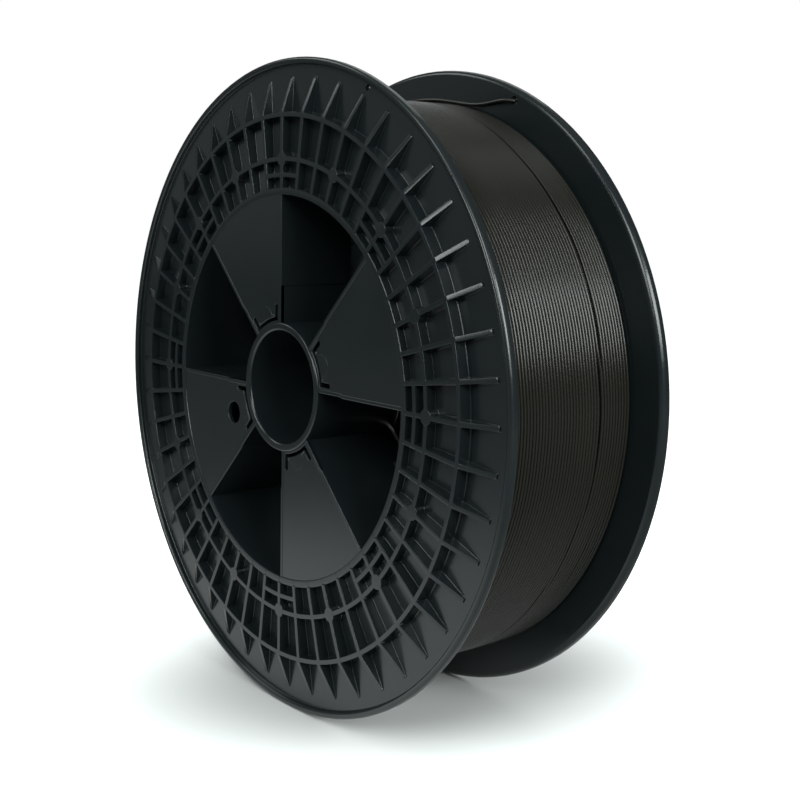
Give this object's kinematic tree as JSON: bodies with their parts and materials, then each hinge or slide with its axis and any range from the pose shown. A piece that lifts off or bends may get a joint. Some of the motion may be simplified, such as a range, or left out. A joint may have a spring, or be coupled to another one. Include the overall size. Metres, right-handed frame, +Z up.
{
  "type": "filament spool",
  "caption": "Large snap-together filament spool: ribbed flanges with rim beads, open and closed hub sectors, plain bore, and a full winding of filament with a free end.",
  "frame": {"origin": "centre of the bore, at the middle of the spool's width", "axes": "the bore's axis lies along Y and the front flange faces -Y; +Z up, so the spool stands on its two rims; +X to the right seen from the front"},
  "size_m": [0.3, 0.098, 0.3],
  "materials": {
    "spool_plastic": "satin injection-moulded slate-black polystyrene",
    "filament": "satin extruded warm charcoal thermoplastic"
  },
  "bodies": {
    "root": {"front_half": "spool_plastic", "rear_half": "spool_plastic", "filament_winding": "filament", "filament_tail": "filament"}
  },
  "joints": []
}
